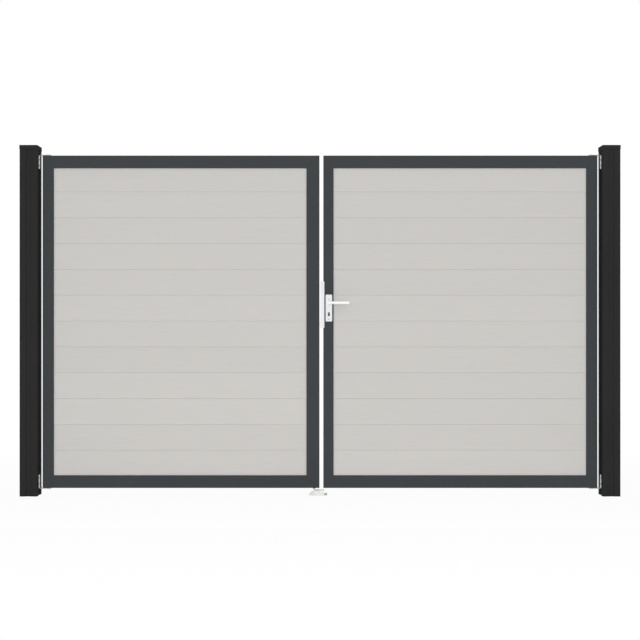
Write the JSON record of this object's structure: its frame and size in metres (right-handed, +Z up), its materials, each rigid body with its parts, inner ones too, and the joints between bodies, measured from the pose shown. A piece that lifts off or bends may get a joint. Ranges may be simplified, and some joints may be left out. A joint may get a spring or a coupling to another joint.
{
  "type": "double swing gate",
  "caption": "Double swing gate: boarded leaves in dark mitred frames on corner pivots between square posts, with a lever lock, a drop bolt and a floor keep.",
  "frame": {"origin": "middle of the foot of the left post, at ground level", "axes": "+X from the left post to the right post, +Y away from the street face, +Z up"},
  "size_m": [3.242, 0.172, 1.895],
  "materials": {
    "post_black": "satin powder coat",
    "frame_anthracite": "satin powder coat",
    "board_grey": "matt extruded board with fine grain",
    "hinge_steel": "brushed",
    "bush_nylon": "moulded",
    "handle_aluminium": "satin anodised",
    "guard_aluminium": "satin anodised",
    "bolt_steel": "zinc plated",
    "rod_black": "satin powder coat",
    "keep_zinc": "cast and zinc coated"
  },
  "bodies": {
    "posts": {"left_post": "post_black", "left_post_cap": "post_black", "left_top_hinge_bracket": "hinge_steel", "left_top_hinge_pin": "hinge_steel", "left_bottom_hinge_bracket": "hinge_steel", "left_bottom_hinge_pin": "hinge_steel", "right_post": "post_black", "right_post_cap": "post_black", "right_top_hinge_bracket": "hinge_steel", "right_top_hinge_pin": "hinge_steel", "right_bottom_hinge_bracket": "hinge_steel", "right_bottom_hinge_pin": "hinge_steel", "floor_keep": "keep_zinc", "floor_keep_anchor": "bolt_steel"},
    "left_leaf": {"left_top_rail": "frame_anthracite", "left_bottom_rail": "frame_anthracite", "left_hinge_stile": "frame_anthracite", "left_meeting_stile": "frame_anthracite", "left_boards": "board_grey", "left_pivot_bushes": "bush_nylon", "strike_plate": "bolt_steel", "drop_bolt_guides": "rod_black"},
    "right_leaf": {"right_top_rail": "frame_anthracite", "right_bottom_rail": "frame_anthracite", "right_hinge_stile": "frame_anthracite", "right_meeting_stile": "frame_anthracite", "right_boards": "board_grey", "right_pivot_bushes": "bush_nylon", "lock_guard": "guard_aluminium", "latch_bolt": "bolt_steel", "dead_bolt": "bolt_steel", "front_handle_plate": "handle_aluminium", "back_handle_plate": "handle_aluminium"},
    "lever_set": {"front_lever": "handle_aluminium", "back_lever": "handle_aluminium", "handle_spindle": "bolt_steel"},
    "drop_bolt": {"drop_bolt_rod": "rod_black"}
  },
  "joints": [
    {"name": "left_leaf_swing", "type": "hinge", "parent": "posts", "child": "left_leaf", "pos_m": [0.1, 0, 0], "axis": [0, 0, 1], "range_deg": [0, 110]},
    {"name": "right_leaf_swing", "type": "hinge", "parent": "posts", "child": "right_leaf", "pos_m": [3.044, 0, 0], "axis": [0, 0, -1], "range_deg": [0, 110]},
    {"name": "lever_turn", "type": "hinge", "parent": "right_leaf", "child": "lever_set", "pos_m": [1.62, 0, 1.044], "axis": [0, 1, 0], "range_deg": [0, 45], "stiffness_Nm_per_rad": 1.5, "springref_deg": -28.65},
    {"name": "drop_bolt_slide", "type": "slide", "parent": "left_leaf", "child": "drop_bolt", "axis": [0, 0, 1], "range_m": [-0.025, 0]}
  ]
}
